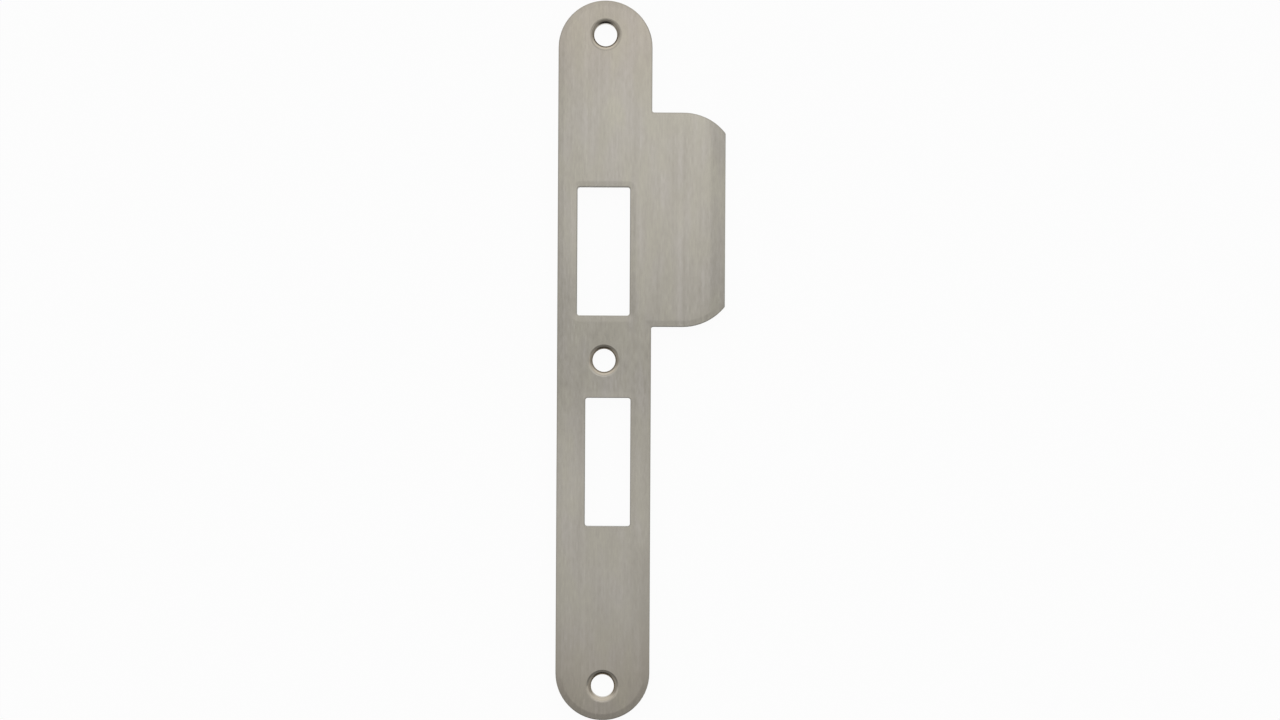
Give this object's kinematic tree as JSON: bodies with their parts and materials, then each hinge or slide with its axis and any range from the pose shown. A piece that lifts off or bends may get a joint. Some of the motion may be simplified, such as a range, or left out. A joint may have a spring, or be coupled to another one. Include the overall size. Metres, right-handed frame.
{
  "type": "door strike plate",
  "caption": "Flat strike plate with a lip: holds a door shut by its latch and dead bolt openings, and is screwed to the edge of a door frame.",
  "frame": {"origin": "on the back face of the plate, on the axis of the middle screw hole", "axes": "+Z out of the front face, +Y along the strip towards the latch opening, +X the way the lip points"},
  "size_m": [0.0393, 0.1684, 0.0027],
  "materials": {
    "brushed_stainless": "satin, brushed along the strip"
  },
  "bodies": {
    "root": {"strike_plate": "brushed_stainless"}
  },
  "joints": []
}
